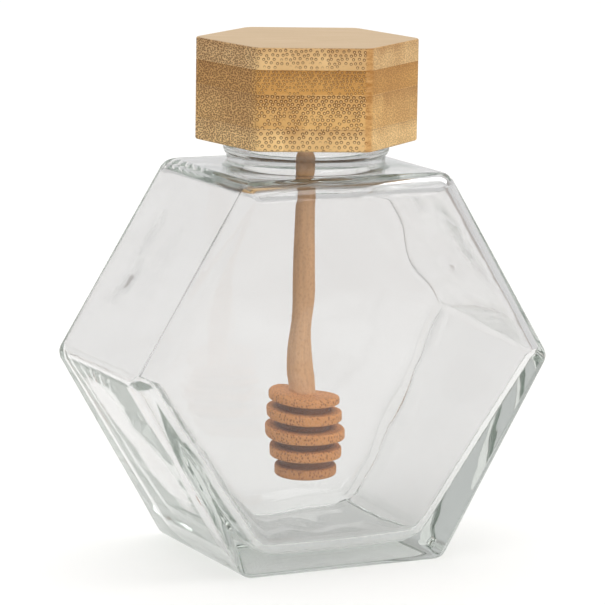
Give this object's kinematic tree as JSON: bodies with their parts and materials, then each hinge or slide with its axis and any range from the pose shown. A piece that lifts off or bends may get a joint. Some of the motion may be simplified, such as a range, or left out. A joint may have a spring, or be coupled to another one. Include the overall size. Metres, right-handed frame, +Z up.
{
  "type": "glass honey jar with bamboo lid and dipper",
  "caption": "Empty hexagonal glass jar standing on one side, with a round neck, a hexagonal bamboo lid and a turned wooden dipper that hangs from the lid into the jar.",
  "frame": {"origin": "middle of the flat base, on the surface the jar stands on", "axes": "+Z up along the neck's axis, X along the width of the jar, the large hexagonal faces look along -Y and +Y"},
  "size_m": [0.1188, 0.058, 0.1369],
  "materials": {
    "clear_glass": "smooth blown soda-lime glass, faint grey-green in thick places",
    "bamboo": "sanded laminated bamboo, end grain with dark fibre bundles",
    "dipper_wood": "sanded turned hardwood, unvarnished"
  },
  "bodies": {
    "root": {"glass_jar": "clear_glass", "bamboo_lid": "bamboo", "honey_dipper": "dipper_wood"}
  },
  "joints": []
}
